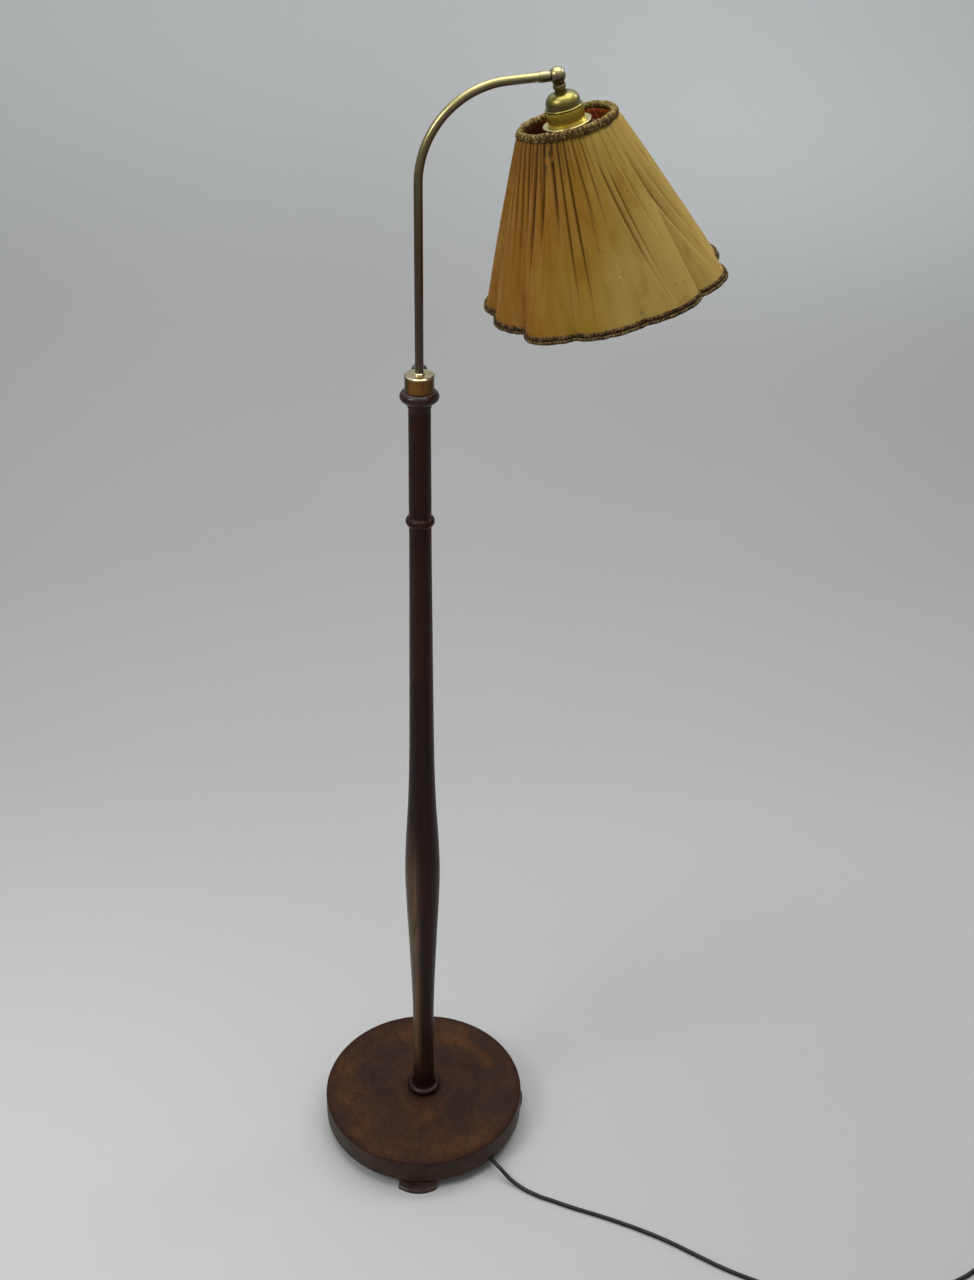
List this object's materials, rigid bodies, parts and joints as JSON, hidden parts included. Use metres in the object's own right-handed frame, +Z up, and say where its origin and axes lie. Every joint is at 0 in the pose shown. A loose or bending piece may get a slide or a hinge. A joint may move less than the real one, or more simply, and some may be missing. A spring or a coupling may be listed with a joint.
{
  "type": "floor lamp",
  "caption": "Turned wooden column on a round footed plate, with a sliding swan-neck arm, a knuckle and a pleated tilting shade.",
  "frame": {"origin": "on the floor, on the axis of the column", "axes": "+Z up along the column; the arm leans away towards +X, turned 10 degrees towards +Y; the lead lies on the side of +X and -Y"},
  "size_m": [1.0049, 0.517, 1.4417],
  "materials": {
    "wood_plate": "brown stained hardwood under worn lacquer",
    "wood_feet": "dark reddish stained hardwood, glossy",
    "wood_column": "near-black brown stained hardwood, glossy",
    "iron_weight": "rough casting",
    "steel_screws": "turned",
    "brass_screws": "turned",
    "brass_collar": "aged, reddish, satin",
    "brass_bright": "bright",
    "brass_arm": "aged, satin",
    "brass_arm_end": "aged, satin",
    "brass_neck": "aged, satin",
    "brass_holder": "satin, greenish yellow",
    "dark_knob": "black moulding, glossy",
    "dark_washer": "matt black",
    "lead_sheath": "matt black sheath",
    "lead_relief": "matt black",
    "plug_moulding": "matt black moulding",
    "pin_metal": "plated",
    "porcelain": "glazed",
    "bulb_cap_metal": "pressed",
    "bulb_glass": "frosted",
    "shade_wire": "nickelled wire",
    "shade_fabric": "ochre pleated cloth",
    "lining_fabric": "rust red cloth",
    "top_trim_braid": "thick corded trim, olive brown",
    "lower_trim_braid": "flat woven braid, olive brown"
  },
  "bodies": {
    "stand": {"base_disc": "wood_plate", "foot_front": "wood_feet", "foot_right": "wood_feet", "foot_back": "wood_feet", "column": "wood_column", "base_weight": "iron_weight", "weight_screws": "steel_screws", "foot_screws": "brass_screws", "cleat_screws": "brass_screws", "lead_cleat": "wood_feet", "collar": "brass_collar", "collar_bush": "brass_bright", "lead_in_stand": "lead_sheath", "strain_relief": "lead_relief", "cord_free": "lead_sheath", "cord_coil": "lead_sheath", "cord_tail": "lead_sheath", "cord_tie": "dark_washer", "plug_body": "plug_moulding", "plug_pins": "pin_metal"},
    "clamp": {"clamp_screw": "brass_screws", "clamp_knob": "dark_knob"},
    "slider": {"guide_bush": "brass_bright"},
    "arm": {"arm_tube": "brass_arm", "tube_end_nut": "brass_screws", "tube_stop_ring": "brass_screws", "arm_ferrule": "brass_arm_end", "lead_in_arm": "lead_sheath", "knuckle_ball": "brass_arm_end", "knuckle_pivot": "brass_screws"},
    "shade": {"knuckle_tongue": "brass_neck", "cap_washer": "dark_washer", "lampholder_cap": "brass_holder", "lampholder_skirt": "brass_holder", "lampholder_insert": "porcelain", "thread_shell": "brass_bright", "centre_contact": "brass_bright", "terminal_screws": "steel_screws", "shade_ring_upper": "brass_holder", "shade_ring_lower": "brass_holder", "bulb_cap": "bulb_cap_metal", "bulb_glass": "bulb_glass", "shade_spider": "shade_wire", "shade_frame": "shade_wire", "shade_cover": "shade_fabric", "shade_lining": "lining_fabric", "top_trim": "top_trim_braid", "lower_trim": "lower_trim_braid"}
  },
  "joints": [
    {"name": "arm_height", "type": "slide", "parent": "stand", "child": "slider", "axis": [0, 0, 1], "range_m": [-0.15, 0.12]},
    {"name": "arm_swivel", "type": "hinge", "parent": "slider", "child": "arm", "pos_m": [0, 0, 1.131], "axis": [0, 0, 1], "range_deg": [-175, 175]},
    {"name": "shade_tilt", "type": "hinge", "parent": "arm", "child": "shade", "pos_m": [0.13708, 0.02417, 1.43308], "axis": [0.1736, -0.9848, 0], "range_deg": [-10, 60]},
    {"name": "clamp_turn", "type": "hinge", "parent": "stand", "child": "clamp", "pos_m": [0, 0.02, 1.1235], "axis": [0, 1, 0], "range_deg": [-180, 180]}
  ]
}
